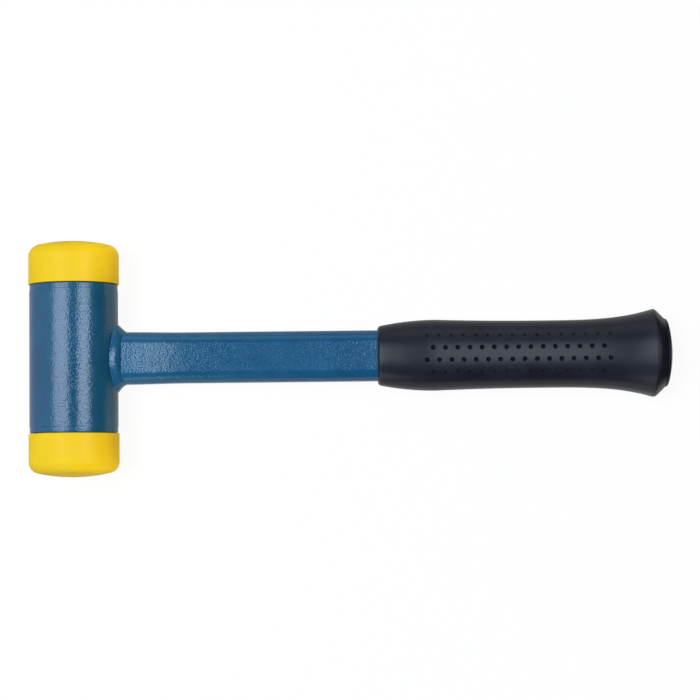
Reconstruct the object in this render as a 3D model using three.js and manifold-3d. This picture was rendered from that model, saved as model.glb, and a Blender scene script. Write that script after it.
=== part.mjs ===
// Dead blow hammer: a steel barrel with a moulded face in each end and loose steel balls inside,
// welded to a flattened tube handle that carries a rubber grip and a plastic end cap.
// Millimetres, +Z up. The hammer lies on its side, the handle along +X and the barrel along Y.
// Pieces are placed from the barrel's centre, and the last lines move the whole hammer so that
// zero is under its middle, on the surface that it lies on.

import * as THREE from "three";
import { mergeVertices } from "three/addons/utils/BufferGeometryUtils.js";
import Module from "manifold-3d";

const wasm = await Module();
wasm.setup();

// Over everything, from the far side of the faces to the end cap
const HAMMER_LENGTH = 285;

// Clearances
const SEAT_GAP = 0.3; // between fixed pieces that meet
const SHOT_GAP = 0.3; // round each loose ball

// Barrel, a thick tube bored out at both ends
const BARREL_DIAMETER = 39.2;
const BARREL_LENGTH = 65.4;
const BARREL_LAND_LENGTH = 2.4; // turned land at each end
const BARREL_LAND_DEPTH = 0.15;
const BARREL_EDGE_ROUND = 0.6;
const SOCKET_WALL = 2.4;
const DISC_SHOULDER = 0.8; // step in the bore that a chamber disc seats on

// Strike faces, moulded and pressed into the barrel by a barbed spigot
const FACE_OVERHANG = 0.4; // how far a face stands out past the barrel all round
const FACE_HEIGHT = 19.3; // from the shoulder to the top of the crown
const FACE_CROWN = 2.8; // rise of the crown over the whole diameter
const FACE_EDGE_RADIUS = 5.1;
const FACE_SEAM_ROUND = 0.5;
const SPIGOT_LENGTH = 10;
const SPIGOT_CHAMFER = 1;
const BARB_PITCH = 2.6;
const BARB_HEIGHT = 0.5;

// Chamber discs, which close the chamber that holds the balls
const DISC_THICKNESS = 4;
const DISC_CHAMFER = 0.5;

// Charge of steel balls: in each layer a few stand round the axis and three times as many round them
const SHOT_CORE = 3;
const SHOT_LAYERS = 4;

// Handle, a flattened steel tube
const HANDLE_WIDTH = 22.9;
const HANDLE_THICKNESS = 15.5;
const HANDLE_CORNER = 5.2;
const HANDLE_WALL = 2;

// Weld between barrel and handle
const WELD_RUN = 3.5; // along the handle
const WELD_NARROW_LEG = 3.5; // out over the barrel, beside the handle's narrow sides
const WELD_BROAD_LEG = 2; // and beside its broad sides
const WELD_CROWN = 0.4;

// Rubber grip, as lengths one after another and the size where they meet
const GRIP_NOSE_LENGTH = 25.6;
const GRIP_PALM_LENGTH = 45.1;
const GRIP_FLARE_LENGTH = 51.1;
const GRIP_RIM_LENGTH = 1;
const GRIP_CHAMFER = 3.9; // turned round the axis, so it starts later on the broad sides
const GRIP_MOUTH_WIDTH = 26;
const GRIP_MOUTH_THICKNESS = 21.5;
const GRIP_SWELL_WIDTH = 31.4;
const GRIP_SWELL_THICKNESS = 27;
const GRIP_WAIST_WIDTH = 29.8;
const GRIP_WAIST_THICKNESS = 25.5;
const GRIP_RIM_WIDTH = 39;
const GRIP_RIM_THICKNESS = 36.6;
const GRIP_MOUTH_ROUND = 1.4;
const GRIP_SQUARENESS = 2.5; // 2 is an ellipse, more is nearer to a rectangle
const FLARE_POWER = 3.5; // how late the flare opens

// Dimples, moulded into both broad sides of the grip in staggered rows
const DIMPLE_DIAMETER = 2.2;
const DIMPLE_DEPTH = 2.6; // under the grip's middle line
const DIMPLE_PITCH = 5.38;
const DIMPLE_ROWS = 4;
const DIMPLE_ROW_PITCH = 5.4;
const DIMPLE_SETBACK = 21.7; // from the mouth of the grip to the first dimple
const DIMPLE_TAIL = 24; // bare length behind the last dimple

// End cap, with a finned stem in the end of the handle tube
const CAP_INSET = 0.4; // how far its rim lies inside the end of the grip
const CAP_SIDE = 0.1;
const CAP_CROWN = 2.3; // rise of the dome over the whole diameter
const CAP_EDGE_RADIUS = 1.2;
const STEM_LENGTH = 16;
const FIN_PITCH = 5;
const FIN_THICKNESS = 1.2;
const FIN_HEIGHT = 1;

// Fineness of the curves
const TURN_STEPS = 32;
const ROUND_STEPS = 2;
const CORNER_STEPS = 2;
const BEAD_STEPS = 4;
const OVAL_STEPS = 40;
const NOSE_STEPS = 5;
const PALM_STEPS = 4;
const FLARE_STEPS = 8;
const DIMPLE_SIDES = 8;

// Sizes that follow from those above
const barrelRadius = BARREL_DIAMETER / 2;
const barrelHalf = BARREL_LENGTH / 2;
const faceRadius = barrelRadius + FACE_OVERHANG;
const socketRadius = barrelRadius - SOCKET_WALL;
const chamberRadius = socketRadius - DISC_SHOULDER;
const discSeat = barrelHalf - SPIGOT_LENGTH - DISC_THICKNESS - SEAT_GAP;
const chamberHalf = discSeat + SEAT_GAP;
const swellAt = GRIP_NOSE_LENGTH;
const waistAt = swellAt + GRIP_PALM_LENGTH;
const flareEnd = waistAt + GRIP_FLARE_LENGTH;
const gripLength = flareEnd + GRIP_RIM_LENGTH + GRIP_CHAMFER;
const mouthHalf = new THREE.Vector2(GRIP_MOUTH_WIDTH, GRIP_MOUTH_THICKNESS).divideScalar(2);
const swellHalf = new THREE.Vector2(GRIP_SWELL_WIDTH, GRIP_SWELL_THICKNESS).divideScalar(2);
const waistHalf = new THREE.Vector2(GRIP_WAIST_WIDTH, GRIP_WAIST_THICKNESS).divideScalar(2);
const rimHalf = new THREE.Vector2(GRIP_RIM_WIDTH, GRIP_RIM_THICKNESS).divideScalar(2);
const endRadius = rimHalf.x - GRIP_CHAMFER;
const capRadius = endRadius - CAP_INSET;
const capHeight = CAP_SIDE + crownArcs(capRadius, CAP_CROWN, CAP_EDGE_RADIUS).depth;
const capTop = HAMMER_LENGTH - faceRadius;
const capSeat = capTop - capHeight;
const gripEnd = capSeat - SEAT_GAP;
const gripMouth = gripEnd - gripLength;

// The two arcs of a crowned end: a rounded edge that runs on into a crown. The crown would rise by
// all of its height over the whole radius if the edge were sharp. The depth is from the top of the
// crown down to where the edge starts.
function crownArcs(radius, rise, edge) {
  const crown = (radius ** 2 + rise ** 2) / (2 * rise);
  const reach = radius - edge;
  const lift = Math.sqrt((crown - edge) ** 2 - reach ** 2);
  return { crown, reach, depth: crown - lift, turn: Math.atan2(lift, reach) };
}

// Adds such an end to a profile that has come up the side
function addCrown(profile, radius, rise, edge, top) {
  const { crown, reach, depth, turn } = crownArcs(radius, rise, edge);
  profile.absarc(reach, top - depth, edge, 0, turn);
  profile.absarc(0, top - crown, crown, turn, Math.PI / 2);
}

const SECTION_TO_X = new THREE.Matrix4().makeBasis(
  new THREE.Vector3(0, 1, 0),
  new THREE.Vector3(0, 0, 1),
  new THREE.Vector3(1, 0, 0),
);

function toManifold(geometry) {
  const bare = geometry.clone();
  bare.deleteAttribute("normal");
  bare.deleteAttribute("uv");
  const merged = mergeVertices(bare);
  return new wasm.Manifold(
    new wasm.Mesh({
      numProp: 3,
      vertProperties: merged.attributes.position.array,
      triVerts: new Uint32Array(merged.index.array),
    }),
  );
}

function fromManifold(solid) {
  const mesh = solid.getMesh();
  const geometry = new THREE.BufferGeometry();
  geometry.setAttribute("position", new THREE.BufferAttribute(mesh.vertProperties, mesh.numProp));
  geometry.setIndex(new THREE.BufferAttribute(mesh.triVerts, 1));
  geometry.computeVertexNormals();
  return geometry;
}

// A closed surface over rings of points that all turn the same way round X. With tips, each end
// closes to a point. Without, the last ring joins the first and leaves a way through the middle.
function loft(rings, tips = []) {
  const count = rings[0].length;
  const points = [...rings.flat(), ...tips];
  const faces = [];
  const spans = tips.length ? rings.length - 1 : rings.length;
  for (let i = 0; i < spans; i++) {
    const here = i * count;
    const there = ((i + 1) % rings.length) * count;
    for (let j = 0; j < count; j++) {
      const k = (j + 1) % count;
      faces.push(here + j, here + k, there + j, here + k, there + k, there + j);
    }
  }
  if (tips.length) {
    const last = (rings.length - 1) * count;
    const nearTip = rings.length * count;
    const farTip = points.length - 1;
    for (let j = 0; j < count; j++) {
      const k = (j + 1) % count;
      faces.push(nearTip, k, j, farTip, last + j, last + k);
    }
  }
  const geometry = new THREE.BufferGeometry().setFromPoints(points);
  geometry.setIndex(faces);
  geometry.computeVertexNormals();
  return geometry;
}

// The handle's section across X, grown outwards on its narrow sides and on its broad sides
function handleSection(narrow, broad) {
  const across = HANDLE_WIDTH / 2 - HANDLE_CORNER;
  const up = HANDLE_THICKNESS / 2 - HANDLE_CORNER;
  const wide = HANDLE_CORNER + narrow;
  const high = HANDLE_CORNER + broad;
  const quarter = Math.PI / 2;
  const shape = new THREE.Shape();
  shape.absellipse(across, up, wide, high, 0, quarter);
  shape.absellipse(-across, up, wide, high, quarter, 2 * quarter);
  shape.absellipse(-across, -up, wide, high, 2 * quarter, 3 * quarter);
  shape.absellipse(across, -up, wide, high, 3 * quarter, 4 * quarter);
  return shape;
}

// That section as a ring of points, each at the X that a function of its height gives
function handleRing(narrow, broad, xAt) {
  const points = handleSection(narrow, broad).getPoints(CORNER_STEPS);
  return points.map((point) => new THREE.Vector3(xAt(point.y), point.x, point.y));
}

function handlePrism(growth, start, end) {
  const options = { depth: end - start, bevelEnabled: false, curveSegments: CORNER_STEPS };
  const prism = new THREE.ExtrudeGeometry(handleSection(growth, growth), options);
  return prism.applyMatrix4(SECTION_TO_X).translate(start, 0, 0);
}

// X of the barrel's side, one gap out from its surface, at a height over the axis
function barrelSide(height) {
  return Math.sqrt((barrelRadius + SEAT_GAP) ** 2 - height ** 2);
}

function barrelGeometry() {
  const land = barrelRadius - BARREL_LAND_DEPTH;
  const landStart = barrelHalf - BARREL_LAND_LENGTH;
  const bodyEnd = landStart - BARREL_LAND_DEPTH;
  const corner = land - BARREL_EDGE_ROUND;
  const cornerAt = barrelHalf - BARREL_EDGE_ROUND;
  const profile = new THREE.Path();
  profile.moveTo(chamberRadius, -discSeat);
  profile.lineTo(socketRadius, -discSeat);
  profile.lineTo(socketRadius, -barrelHalf);
  profile.absarc(corner, -cornerAt, BARREL_EDGE_ROUND, -Math.PI / 2, 0);
  profile.lineTo(land, -landStart);
  profile.lineTo(barrelRadius, -bodyEnd);
  profile.lineTo(barrelRadius, bodyEnd);
  profile.lineTo(land, landStart);
  profile.absarc(corner, cornerAt, BARREL_EDGE_ROUND, 0, Math.PI / 2);
  profile.lineTo(socketRadius, barrelHalf);
  profile.lineTo(socketRadius, discSeat);
  profile.lineTo(chamberRadius, discSeat);
  profile.closePath();
  return new THREE.LatheGeometry(profile.getPoints(1), TURN_STEPS);
}

// A strike face with its shoulder at zero, the crown above and the spigot below
function faceGeometry() {
  const barb = socketRadius - SEAT_GAP;
  const core = barb - BARB_HEIGHT;
  const barbCount = Math.floor((SPIGOT_LENGTH - SPIGOT_CHAMFER) / BARB_PITCH);
  const profile = new THREE.Path();
  profile.moveTo(0, -SPIGOT_LENGTH);
  profile.lineTo(core - SPIGOT_CHAMFER, -SPIGOT_LENGTH);
  for (let i = 0; i < barbCount; i++) {
    const foot = SPIGOT_CHAMFER - SPIGOT_LENGTH + i * BARB_PITCH;
    profile.lineTo(core, foot);
    profile.lineTo(barb, foot + BARB_PITCH - BARB_HEIGHT);
  }
  profile.lineTo(core, SPIGOT_CHAMFER - SPIGOT_LENGTH + barbCount * BARB_PITCH);
  profile.lineTo(core, 0);

  const seamReach = faceRadius - FACE_SEAM_ROUND;
  profile.absarc(seamReach, FACE_SEAM_ROUND, FACE_SEAM_ROUND, -Math.PI / 2, 0);
  addCrown(profile, faceRadius, FACE_CROWN, FACE_EDGE_RADIUS, FACE_HEIGHT);
  return new THREE.LatheGeometry(profile.getPoints(ROUND_STEPS), TURN_STEPS);
}

function discGeometry() {
  const radius = socketRadius - SEAT_GAP;
  const profile = new THREE.Path();
  profile.moveTo(0, 0);
  profile.lineTo(radius - DISC_CHAMFER, 0);
  profile.lineTo(radius, DISC_CHAMFER);
  profile.lineTo(radius, DISC_THICKNESS - DISC_CHAMFER);
  profile.lineTo(radius - DISC_CHAMFER, DISC_THICKNESS);
  profile.lineTo(0, DISC_THICKNESS);
  return new THREE.LatheGeometry(profile.getPoints(), TURN_STEPS);
}

// Size and places of the balls, packed against the chamber disc on the -Y side. Each layer nests
// in the one before it, and no more layers go in than the chamber has room for.
function shotCharge() {
  const ringCount = 3 * SHOT_CORE;
  const halfStep = Math.PI / ringCount;
  const coreReach = 0.5 / Math.sin(Math.PI / SHOT_CORE);
  const nestReach =
    coreReach * Math.cos(halfStep) + Math.sqrt(1 - (coreReach * Math.sin(halfStep)) ** 2);
  const ringReach = Math.max(nestReach, 0.5 / Math.sin(halfStep));
  const diameter = (chamberRadius - SHOT_GAP * (ringReach + 1)) / (ringReach + 0.5);
  const pitch = diameter + SHOT_GAP;
  const coreOffset = 2 * coreReach * Math.sin(Math.PI / SHOT_CORE / 2);
  const ringOffset = 2 * ringReach * Math.sin(halfStep / 2);
  const layerRise = pitch * Math.sqrt(1 - Math.min(coreOffset, ringOffset) ** 2);
  const room = 2 * chamberHalf - 2 * SHOT_GAP - diameter;
  const layers = Math.min(SHOT_LAYERS, 1 + Math.floor(room / layerRise));

  const places = [];
  const addCircle = (count, reach, y, turn) => {
    for (let i = 0; i < count; i++) {
      const angle = turn + (2 * Math.PI * i) / count;
      places.push(new THREE.Vector3(reach * Math.sin(angle), y, reach * Math.cos(angle)));
    }
  };
  for (let layer = 0; layer < layers; layer++) {
    const y = -chamberHalf + SHOT_GAP + diameter / 2 + layer * layerRise;
    const turn = (layer * Math.PI) / SHOT_CORE;
    addCircle(ringCount, ringReach * pitch, y, turn);
    addCircle(SHOT_CORE, coreReach * pitch, y, turn + halfStep);
  }
  return { diameter, places };
}

// The tube's front end is coped to the barrel's side
function handleGeometry() {
  const weldToe = barrelSide(0) + WELD_RUN;
  const stations = [barrelSide, () => weldToe + SEAT_GAP, () => gripMouth - SEAT_GAP, () => gripEnd];
  const outside = stations.map((xAt) => handleRing(0, 0, xAt));
  const inside = stations.map((xAt) => handleRing(-HANDLE_WALL, -HANDLE_WALL, xAt));
  return loft([...outside, ...inside.reverse()]);
}

// A crowned fillet that runs round the handle along the saddle where it meets the barrel
function weldGeometry() {
  const rings = [];
  for (let i = 0; i <= BEAD_STEPS; i++) {
    const along = i / BEAD_STEPS;
    const crown = WELD_CROWN * Math.sin(Math.PI * along);
    const narrow = SEAT_GAP + WELD_NARROW_LEG * (1 - along) + crown;
    const broad = SEAT_GAP + WELD_BROAD_LEG * (1 - along) + crown;
    const reach = WELD_RUN * along + crown;
    rings.push(handleRing(narrow, broad, (height) => barrelSide(height) + reach));
  }
  rings.push(handleRing(SEAT_GAP, SEAT_GAP, barrelSide));
  return loft(rings);
}

// Half the grip's width and thickness at a distance from its mouth
function gripHalf(run) {
  const half = new THREE.Vector2();
  if (run < swellAt) {
    const left = 1 - run / GRIP_NOSE_LENGTH;
    return half.lerpVectors(swellHalf, mouthHalf, left ** 2);
  }
  if (run < waistAt) {
    const left = 1 - (run - swellAt) / GRIP_PALM_LENGTH;
    return half.lerpVectors(waistHalf, swellHalf, left ** 2);
  }
  const opened = Math.min(1, (run - waistAt) / GRIP_FLARE_LENGTH);
  return half.lerpVectors(waistHalf, rimHalf, opened ** FLARE_POWER);
}

// A ring of points round a squared oval
function ovalRing(x, half) {
  const signedPower = (value) => Math.sign(value) * Math.abs(value) ** (2 / GRIP_SQUARENESS);
  const ring = [];
  for (let i = 0; i < OVAL_STEPS; i++) {
    const angle = (2 * Math.PI * i) / OVAL_STEPS;
    const y = half.x * signedPower(Math.cos(angle));
    const z = half.y * signedPower(Math.sin(angle));
    ring.push(new THREE.Vector3(x, y, z));
  }
  return ring;
}

// Cutters for the dimples of one broad side. All are cones that point straight in and end at one
// depth, so that the rows nearer to the edges come out smaller.
function dimpleCutters(side) {
  const cutters = [];
  const length = gripLength - DIMPLE_SETBACK - DIMPLE_TAIL;
  for (let row = 0; row < DIMPLE_ROWS; row++) {
    const y = side * ((DIMPLE_ROWS - 1) / 2 - row) * DIMPLE_ROW_PITCH;
    const stagger = (row % 2) * (DIMPLE_PITCH / 2);
    for (let along = stagger; along <= length; along += DIMPLE_PITCH) {
      const run = DIMPLE_SETBACK + along;
      const cutter = new THREE.ConeGeometry(DIMPLE_DIAMETER, 2 * DIMPLE_DEPTH, DIMPLE_SIDES);
      cutter.rotateX((-side * Math.PI) / 2);
      cutter.translate(gripMouth + run, y, side * gripHalf(run).y);
      cutters.push(cutter);
    }
  }
  return cutters;
}

function gripGeometry() {
  const rings = [];
  for (let i = 0; i < ROUND_STEPS; i++) {
    const turn = ((Math.PI / 2) * i) / ROUND_STEPS;
    const run = GRIP_MOUTH_ROUND * (1 - Math.cos(turn));
    const inset = GRIP_MOUTH_ROUND * (1 - Math.sin(turn));
    rings.push(ovalRing(gripMouth + run, gripHalf(run).subScalar(inset)));
  }
  const addRun = (start, end, steps) => {
    for (let i = 0; i < steps; i++) {
      const run = start + ((end - start) * i) / steps;
      rings.push(ovalRing(gripMouth + run, gripHalf(run)));
    }
  };
  addRun(GRIP_MOUTH_ROUND, swellAt, NOSE_STEPS);
  addRun(swellAt, waistAt, PALM_STEPS);
  addRun(waistAt, flareEnd, FLARE_STEPS);
  rings.push(ovalRing(gripMouth + flareEnd, rimHalf));
  rings.push(ovalRing(gripEnd, rimHalf));
  const tips = [new THREE.Vector3(gripMouth, 0, 0), new THREE.Vector3(gripEnd, 0, 0)];
  // The sleeve is cut to a cone as high as it is wide, which leaves the chamfer at its end
  const coneHeight = endRadius + gripLength + SEAT_GAP;
  const cone = new THREE.ConeGeometry(coneHeight, coneHeight, TURN_STEPS);
  cone.rotateZ(-Math.PI / 2).translate(gripEnd + endRadius - coneHeight / 2, 0, 0);
  const sleeve = toManifold(loft(rings, tips)).intersect(toManifold(cone));
  const bore = handlePrism(SEAT_GAP, gripMouth - SEAT_GAP, gripEnd + SEAT_GAP);
  const cutters = [bore, ...dimpleCutters(1), ...dimpleCutters(-1)];
  const cut = (solid, cutter) => solid.subtract(toManifold(cutter));
  return fromManifold(cutters.reduce(cut, sleeve));
}

function endCapGeometry() {
  const profile = new THREE.Path();
  profile.moveTo(0, 0);
  profile.lineTo(capRadius, 0);
  addCrown(profile, capRadius, CAP_CROWN, CAP_EDGE_RADIUS, capHeight);
  const plate = new THREE.LatheGeometry(profile.getPoints(ROUND_STEPS), TURN_STEPS);
  plate.rotateZ(-Math.PI / 2).translate(capSeat, 0, 0);
  const finGrowth = -HANDLE_WALL - SEAT_GAP;
  const stemTip = capSeat - STEM_LENGTH;
  const joined = [handlePrism(finGrowth - FIN_HEIGHT, stemTip, capSeat + CAP_SIDE)];
  for (let x = stemTip + FIN_THICKNESS; x + FIN_THICKNESS < capSeat; x += FIN_PITCH) {
    joined.push(handlePrism(finGrowth, x, x + FIN_THICKNESS));
  }
  const join = (solid, piece) => solid.add(toManifold(piece));
  return fromManifold(joined.reduce(join, toManifold(plate)));
}

const PAINTED_STEEL = { color: 0x265c87, roughness: 0.35, metalness: 0.2 };
const BARE_STEEL = { color: 0xa7aaad, roughness: 0.3, metalness: 1 };
const POLYURETHANE = { color: 0xf2d028, roughness: 0.5, metalness: 0 };
const GRIP_RUBBER = { color: 0x30323c, roughness: 0.65, metalness: 0 };
const CAP_PLASTIC = { color: 0x14141c, roughness: 0.35, metalness: 0 };

function piece(name, geometry, finish) {
  const mesh = new THREE.Mesh(geometry, new THREE.MeshStandardMaterial(finish));
  mesh.name = name;
  return mesh;
}

const hammer = new THREE.Group();
hammer.name = "dead_blow_hammer";

hammer.add(piece("barrel", barrelGeometry(), PAINTED_STEEL));
for (const [place, side] of [["upper", 1], ["lower", -1]]) {
  const end = new THREE.Group();
  const disc = piece(`chamber_disc_${place}`, discGeometry(), BARE_STEEL);
  const face = piece(`strike_face_${place}`, faceGeometry(), POLYURETHANE);
  disc.position.y = discSeat + SEAT_GAP;
  face.position.y = barrelHalf + SEAT_GAP;
  end.rotation.x = side > 0 ? 0 : Math.PI;
  end.add(disc, face);
  hammer.add(end);
}

const shot = shotCharge();
shot.places.forEach((place, index) => {
  const ball = new THREE.IcosahedronGeometry(shot.diameter / 2, 1);
  const name = `shot_ball_${String(index + 1).padStart(2, "0")}`;
  const mesh = piece(name, ball, BARE_STEEL);
  mesh.position.copy(place);
  hammer.add(mesh);
});

hammer.add(piece("handle_tube", handleGeometry(), PAINTED_STEEL));
hammer.add(piece("weld_bead", weldGeometry(), PAINTED_STEEL));
hammer.add(piece("grip_sleeve", gripGeometry(), GRIP_RUBBER));
hammer.add(piece("grip_end_cap", endCapGeometry(), CAP_PLASTIC));

hammer.position.set((faceRadius - capTop) / 2, 0, faceRadius);

export default hammer;
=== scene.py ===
"""Dead blow hammer: every visible piece, its finish and the studio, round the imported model.

The hammer lies on its side, with the handle along +X and the barrel along Y. Everything is in
metres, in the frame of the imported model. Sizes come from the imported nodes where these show
them, and from the fields of the classes below where they don't.
"""

import logging
import math
from dataclasses import dataclass, field
from enum import Enum
from typing import Any, Callable, Iterable, Mapping, Sequence

import bmesh
import bpy
from mathutils import Matrix, Vector, noise


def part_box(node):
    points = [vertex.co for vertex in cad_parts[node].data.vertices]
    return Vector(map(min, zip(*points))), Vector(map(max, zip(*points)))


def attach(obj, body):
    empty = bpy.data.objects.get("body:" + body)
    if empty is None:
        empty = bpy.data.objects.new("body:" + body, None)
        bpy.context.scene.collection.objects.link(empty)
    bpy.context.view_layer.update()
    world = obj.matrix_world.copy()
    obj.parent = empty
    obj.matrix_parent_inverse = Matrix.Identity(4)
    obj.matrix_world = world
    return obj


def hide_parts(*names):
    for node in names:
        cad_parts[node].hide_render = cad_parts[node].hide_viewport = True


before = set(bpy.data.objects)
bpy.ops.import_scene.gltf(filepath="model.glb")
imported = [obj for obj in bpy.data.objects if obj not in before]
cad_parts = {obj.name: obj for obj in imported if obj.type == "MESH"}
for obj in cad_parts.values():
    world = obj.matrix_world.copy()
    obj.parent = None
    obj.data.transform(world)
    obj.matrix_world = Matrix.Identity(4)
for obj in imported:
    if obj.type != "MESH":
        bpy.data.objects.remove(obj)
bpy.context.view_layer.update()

LOG = logging.getLogger("hammer")
MERGE_DISTANCE = 2e-6
QUARTER_TURN = math.pi / 2
DOT_SIZE = 0.001

# Sizes that two sub-assemblies share, and the angle in degrees that keeps a tool's edge sharp
TUBE_WALL = 0.002
FIT_GAP = 0.0003
TOOL_SHARP = 30.0

Colour = tuple[float, float, float]
Place = tuple[float, float, float]
Span = tuple[float, float]

FOCUS: Place = (0.0, 0.00275, 0.020)


class Body(Enum):
    """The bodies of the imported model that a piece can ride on."""

    HAMMER = "hammer"
    SHOT = "shot"


class Use(Enum):
    """What a lamp is there for: the gloss on a finish, or the shading of its colour."""

    GLOSS = "gloss"
    SHADE = "shade"


class Side(Enum):
    """The two ends of the barrel, by the direction along Y."""

    UPPER = 1
    LOWER = -1


def arc(centre: Vector, radius: float, start: float, end: float, steps: int) -> list[Vector]:
    """Points on an arc in a plane of distance from an axis and height along it.

    Args:
        centre: Centre of the arc, as distance and height.
        radius: Radius of the arc.
        start: Angle of the first point, from the direction away from the axis.
        end: Angle of the last point.
        steps: Number of steps between them.

    Returns:
        The points in order, both ends among them.
    """
    turns = (start + (end - start) * step / steps for step in range(steps + 1))
    return [centre + radius * Vector((math.cos(turn), math.sin(turn))) for turn in turns]


def crowned(top: Vector, rise: float, edge: float, steps: int) -> list[Vector]:
    """Points on a rounded edge that runs on into a crown, up to the axis.

    Args:
        top: Radius of the side below the edge, and height of the crown's top.
        rise: Height that the crown would have over the whole radius.
        edge: Radius of the edge.
        steps: Number of steps in each of the two arcs.

    Returns:
        The points in order, from the side to the axis.
    """
    crown = (top.x**2 + rise**2) / (2 * rise)
    reach = top.x - edge
    lift = math.sqrt((crown - edge) ** 2 - reach**2)
    lean = math.atan2(lift, reach)
    points = arc(Vector((reach, top.y - crown + lift)), edge, 0, lean, steps)
    points += arc(Vector((0, top.y - crown)), crown, lean, QUARTER_TURN, steps)[1:]
    points[-1].x = 0
    return points


class Bench:
    """The moves in edit mode and object mode that pieces are modelled with."""

    @staticmethod
    def begin(name: str, add: Callable[..., Any], **settings: Any) -> bpy.types.Object:
        """Add a primitive with nothing else selected, and open it in edit mode.

        Args:
            name: Name of the new object and its mesh.
            add: Operator that adds the primitive.
            **settings: Settings of that operator.

        Returns:
            The new object, with all of its mesh selected.
        """
        bpy.ops.object.select_all(action="DESELECT")
        add(**settings)
        piece = bpy.context.active_object
        piece.name = name
        piece.data.name = name
        bpy.ops.object.transform_apply(location=True, rotation=True, scale=True)
        bpy.ops.object.mode_set(mode="EDIT")
        bpy.ops.mesh.select_all(action="SELECT")
        return piece

    @staticmethod
    def shape(piece: bpy.types.Object, move: Callable[[Vector], Sequence[float]]) -> None:
        """Move each selected point of a piece in edit mode by one rule.

        Args:
            piece: The piece that is open in edit mode.
            move: Gives a point's new place from its old one.
        """
        mesh = bmesh.from_edit_mesh(piece.data)
        for point in mesh.verts:
            if point.select:
                point.co = move(point.co.copy())
        bmesh.update_edit_mesh(piece.data)

    @staticmethod
    def pick_edges(piece: bpy.types.Object, wanted: Callable[[Vector, Vector], bool]) -> None:
        """Select the edges of a piece in edit mode that pass a test on their two ends.

        Args:
            piece: The piece that is open in edit mode.
            wanted: Says from an edge's ends whether it is selected.
        """
        bpy.ops.mesh.select_mode(type="EDGE")
        bpy.ops.mesh.select_all(action="DESELECT")
        mesh = bmesh.from_edit_mesh(piece.data)
        for edge in mesh.edges:
            edge.select_set(wanted(edge.verts[0].co, edge.verts[1].co))
        mesh.select_flush_mode()
        bmesh.update_edit_mesh(piece.data)

    @staticmethod
    def pick_lengthwise(piece: bpy.types.Object) -> None:
        """Select the edges of a bar in edit mode that run along X."""
        Bench.pick_edges(piece, lambda one, two: abs(one.x - two.x) > MERGE_DISTANCE)

    @staticmethod
    def pick_faces(piece: bpy.types.Object, wanted: Callable[[Vector, Vector], bool]) -> None:
        """Select the faces of a piece in edit mode that pass a test on centre and normal.

        Args:
            piece: The piece that is open in edit mode.
            wanted: Says from a face's centre and normal whether it is selected.
        """
        bpy.ops.mesh.select_mode(type="FACE")
        bpy.ops.mesh.select_all(action="DESELECT")
        mesh = bmesh.from_edit_mesh(piece.data)
        for face in mesh.faces:
            face.select_set(wanted(face.calc_center_median(), face.normal))
        bmesh.update_edit_mesh(piece.data)

    @staticmethod
    def close(piece: bpy.types.Object, sharp_over: float) -> bpy.types.Object:
        """Merge doubles, turn faces outwards, leave edit mode and smooth the piece.

        Args:
            piece: The piece that is open in edit mode.
            sharp_over: Angle in degrees over which an edge stays sharp.

        Returns:
            The same piece, in object mode.
        """
        bpy.ops.mesh.select_mode(type="VERT")
        bpy.ops.mesh.select_all(action="SELECT")
        bpy.ops.mesh.remove_doubles(threshold=MERGE_DISTANCE)
        bpy.ops.mesh.normals_make_consistent(inside=False)
        bpy.ops.mesh.select_all(action="DESELECT")
        bpy.ops.object.mode_set(mode="OBJECT")
        return Bench.smooth(piece, sharp_over)

    @staticmethod
    def choose(piece: bpy.types.Object) -> None:
        """Select a piece in object mode alone and make it the active one.

        Args:
            piece: The piece that the next operators act on.
        """
        bpy.ops.object.select_all(action="DESELECT")
        piece.select_set(True)
        bpy.context.view_layer.objects.active = piece

    @staticmethod
    def smooth(piece: bpy.types.Object, sharp_over: float) -> bpy.types.Object:
        """Shade a piece in object mode smooth, apart from its sharp edges.

        Args:
            piece: The piece that is shaded.
            sharp_over: Angle in degrees over which an edge stays sharp.

        Returns:
            The same piece.
        """
        Bench.choose(piece)
        bpy.ops.object.shade_smooth_by_angle(angle=math.radians(sharp_over))
        return piece

    @staticmethod
    def modify(piece: bpy.types.Object, kind: str, **settings: Any) -> None:
        """Add a modifier to a piece in object mode and apply it.

        Args:
            piece: The piece that is modified.
            kind: Type of the modifier.
            **settings: Values of the modifier's fields.
        """
        Bench.choose(piece)
        modifier = piece.modifiers.new(kind.lower(), kind)
        for name, value in settings.items():
            setattr(modifier, name, value)
        bpy.ops.object.modifier_apply(modifier=modifier.name)

    @staticmethod
    def combine(piece: bpy.types.Object, tool: bpy.types.Object, operation: str) -> None:
        """Cut a piece by another shape or join that to it, and remove the other shape.

        Args:
            piece: The piece that stays.
            tool: The shape that is used up.
            operation: DIFFERENCE to cut, UNION to join.
        """
        Bench.modify(piece, "BOOLEAN", operation=operation, solver="EXACT", object=tool)
        bpy.data.objects.remove(tool)

    @staticmethod
    def turn(
        name: str,
        outline: Iterable[Vector],
        foot: Vector,
        along: Vector,
        steps: int,
    ) -> bpy.types.Object:
        """Draw an outline point by point and spin it once round an axis.

        Args:
            name: Name of the new object.
            outline: Points of the outline, as distance from the axis and height along it.
            foot: Point on the axis where the height is zero.
            along: Direction of the axis.
            steps: Number of steps in the whole turn.

        Returns:
            The new object, still in edit mode.
        """
        away = along.orthogonal().normalized()
        drawn = [foot + reach * away + height * along for reach, height in outline]
        add = bpy.ops.mesh.primitive_plane_add
        piece = Bench.begin(name, add, size=DOT_SIZE, location=drawn[0])
        bpy.ops.mesh.merge(type="CENTER")
        for here, there in zip(drawn, drawn[1:]):
            bpy.ops.mesh.extrude_vertices_move(TRANSFORM_OT_translate={"value": there - here})
        bpy.ops.mesh.select_all(action="SELECT")
        bpy.ops.mesh.spin(steps=steps, angle=math.tau, center=foot, axis=along)
        return piece

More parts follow.
